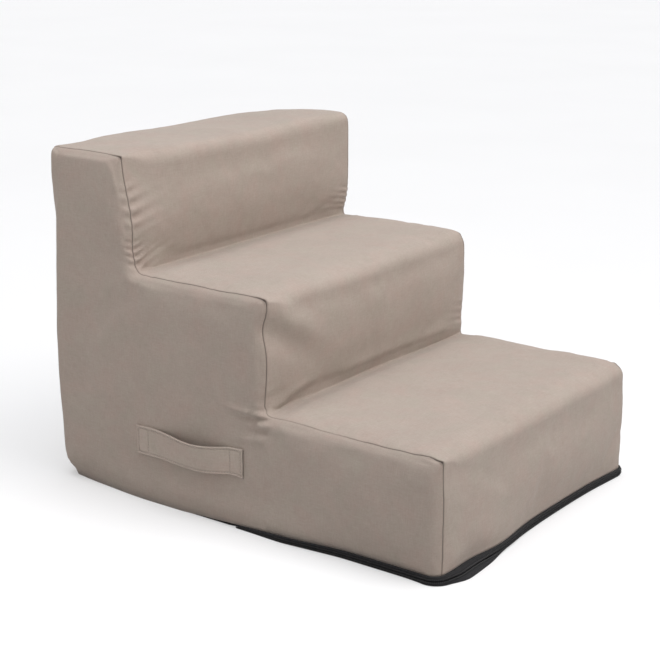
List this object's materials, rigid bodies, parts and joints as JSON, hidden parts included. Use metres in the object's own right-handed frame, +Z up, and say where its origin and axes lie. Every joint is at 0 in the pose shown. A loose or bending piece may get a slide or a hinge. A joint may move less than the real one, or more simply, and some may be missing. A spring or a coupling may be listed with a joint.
{
  "type": "pet stairs",
  "caption": "Low foam pet stairs in a zip-off taupe fabric cover, with a sewn strap handle on one side and a dark non-slip base edged by a zip.",
  "frame": {"origin": "on the floor, below the middle of the whole object's box", "axes": "+Z up; the lowest step faces -Y and the pet climbs towards +Y; the handle is on the -X side and the slider on the +X side"},
  "size_m": [0.4388, 0.5583, 0.4],
  "materials": {
    "cover_fabric": "matt suede-like woven polyester, warm taupe",
    "thread": "polyester sewing thread, taupe",
    "foam_core": "open-cell polyurethane foam, off-white",
    "base_nonslip": "black cloth with rubber grip dots",
    "zip_tape": "black woven zip tape",
    "zip_coil": "black nylon coil",
    "zip_stop": "black lacquered",
    "zip_slider": "black lacquered zinc, satin"
  },
  "bodies": {
    "stairs": {"foam_lower_slab": "foam_core", "foam_middle_slab": "foam_core", "foam_upper_slab": "foam_core", "cover_left_panel": "cover_fabric", "cover_center_strip": "cover_fabric", "cover_right_panel": "cover_fabric", "base_panel": "base_nonslip", "zip_upper_tape": "zip_tape", "zip_lower_tape": "zip_tape", "zip_upper_coil": "zip_coil", "zip_lower_coil": "zip_coil", "zip_bottom_stop": "zip_stop", "zip_top_stops": "zip_stop", "handle_strap": "cover_fabric", "handle_stitching": "thread"},
    "slider": {"zip_slider_body": "zip_slider", "zip_slider_crown": "zip_slider"},
    "pull_tab": {"zip_pull_tab": "zip_slider"}
  },
  "joints": [
    {"name": "zip_slider_travel", "type": "slide", "parent": "stairs", "child": "slider", "axis": [0, -1, 0], "range_m": [0, 0.285]},
    {"name": "pull_tab_swing", "type": "hinge", "parent": "slider", "child": "pull_tab", "pos_m": [0.21395, 0.045, 0.0046], "axis": [0, 0, -1], "range_deg": [0, 175]}
  ]
}
